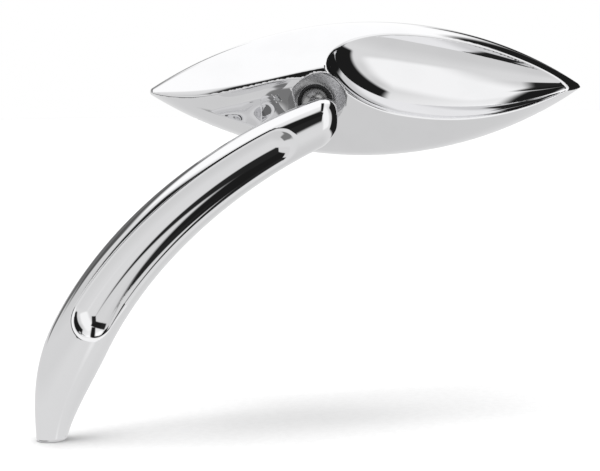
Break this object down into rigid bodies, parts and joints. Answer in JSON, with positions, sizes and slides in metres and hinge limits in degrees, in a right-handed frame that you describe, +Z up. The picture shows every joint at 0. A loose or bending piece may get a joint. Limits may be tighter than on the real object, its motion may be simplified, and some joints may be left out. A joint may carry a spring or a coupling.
{
  "type": "motorcycle mirror",
  "caption": "Leaf-shaped cast mirror head with a scooped back, swivelling on a ball stud at the end of a curved, fluted stem with a tapped foot.",
  "frame": {"origin": "centre of the stem's foot face, on the axis of its tapped hole", "axes": "+Z up the foot's axis, +X along the head away from the foot, +Y towards the rider, where the glass faces"},
  "size_m": [0.2523, 0.0502, 0.1746],
  "materials": {
    "stem_chrome": "mirror polished chrome plate",
    "head_chrome": "mirror polished chrome plate, rough cast socket",
    "stud_steel": "bright plated steel",
    "seat_nylon": "moulded nylon",
    "mirror_glass": "silvered glass",
    "foam": "foam tape",
    "clamp_steel": "zinc plated"
  },
  "bodies": {
    "stem": {"stem": "stem_chrome", "ball_stud": "stud_steel"},
    "front_seat": {"front_seat": "seat_nylon"},
    "rear_seat": {"rear_seat": "seat_nylon"},
    "head": {"housing": "head_chrome", "mirror_glass": "mirror_glass", "foam_tape": "foam", "clamp_plate": "clamp_steel", "clamp_screws": "clamp_steel", "spring_washers": "clamp_steel"}
  },
  "joints": [
    {"name": "head_pan", "type": "hinge", "parent": "stem", "child": "front_seat", "pos_m": [0.1176, 0.02318, 0.1389], "axis": [0, 0, 1], "range_deg": [-12, 12]},
    {"name": "head_roll", "type": "hinge", "parent": "front_seat", "child": "rear_seat", "pos_m": [0.1176, 0.02318, 0.1389], "axis": [0, 1, 0], "range_deg": [-15, 15]},
    {"name": "head_tilt", "type": "hinge", "parent": "rear_seat", "child": "head", "pos_m": [0.1176, 0.02318, 0.1389], "axis": [1, 0, 0], "range_deg": [-8, 15]}
  ]
}
